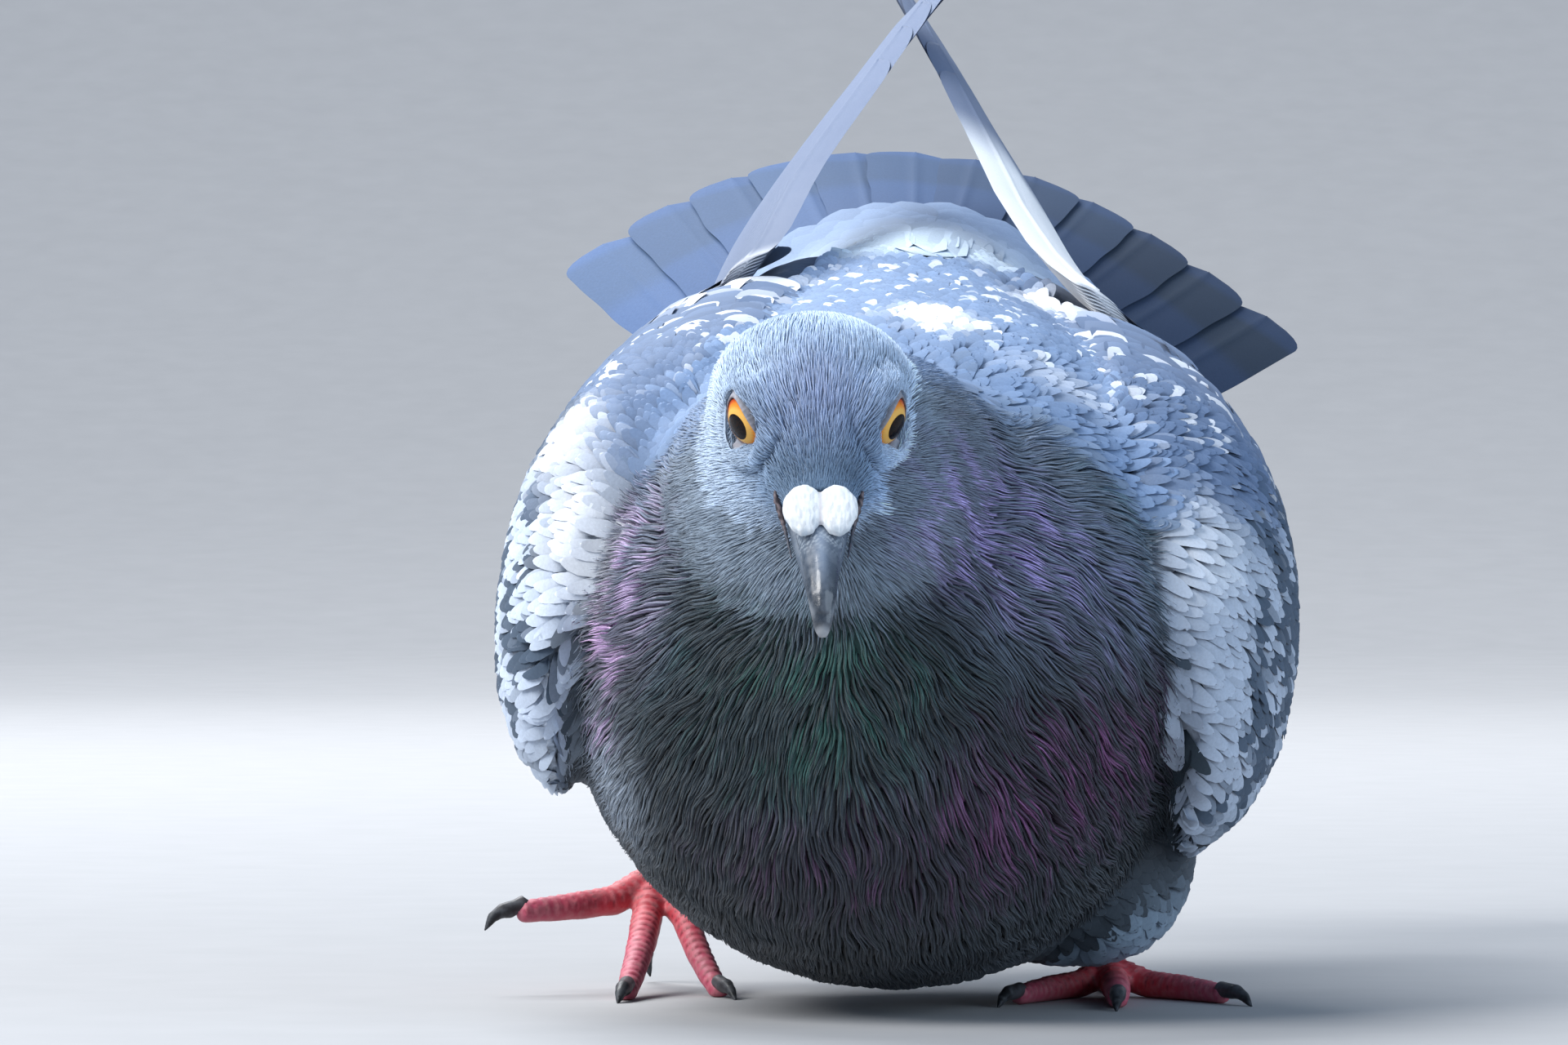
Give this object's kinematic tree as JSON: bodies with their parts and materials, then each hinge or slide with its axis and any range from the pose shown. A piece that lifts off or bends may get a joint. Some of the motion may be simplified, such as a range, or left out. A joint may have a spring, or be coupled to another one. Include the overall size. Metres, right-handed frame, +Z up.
{
  "type": "pigeon",
  "caption": "Life-size still model of a rock pigeon in a low bow, head down, tail fanned, wing tips crossed above it.",
  "frame": {"origin": "on the floor, under the middle of the bird's bounding box", "axes": "+Z up, the bird faces -Y and its left side is +X, so +Y runs back along the body to the tail"},
  "size_m": [0.1252, 0.2794, 0.1669],
  "materials": {
    "head_plumage": "soft blue-grey feathers",
    "neck_plumage": "dark slate feathers with a green and purple sheen",
    "body_plumage": "slate feathers",
    "wing_plumage": "pale grey feathers with dark chequers",
    "flight_feathers": "stiff blue-grey feathers",
    "leg_scales": "crimson scaled skin",
    "claw_horn": "dark horn",
    "bill_horn": "dark slate horn",
    "cere_skin": "chalky white skin",
    "eye_iris": "wet orange eye"
  },
  "bodies": {
    "root": {"head": "head_plumage", "neck": "neck_plumage", "trunk": "body_plumage", "tail": "body_plumage", "wing_left": "wing_plumage", "wing_right": "wing_plumage", "primaries_left": "flight_feathers", "primaries_right": "flight_feathers", "thigh_left": "body_plumage", "thigh_right": "body_plumage", "tarsus_left": "leg_scales", "tarsus_right": "leg_scales", "toe_left_middle": "leg_scales", "toe_left_outer": "leg_scales", "toe_left_inner": "leg_scales", "toe_left_hind": "leg_scales", "toe_right_middle": "leg_scales", "toe_right_outer": "leg_scales", "toe_right_inner": "leg_scales", "toe_right_hind": "leg_scales", "claw_left_middle": "claw_horn", "claw_left_outer": "claw_horn", "claw_left_inner": "claw_horn", "claw_left_hind": "claw_horn", "claw_right_middle": "claw_horn", "claw_right_outer": "claw_horn", "claw_right_inner": "claw_horn", "claw_right_hind": "claw_horn", "bill_upper": "bill_horn", "bill_lower": "bill_horn", "cere_left": "cere_skin", "cere_right": "cere_skin", "eye_left": "eye_iris", "eye_right": "eye_iris"}
  },
  "joints": []
}
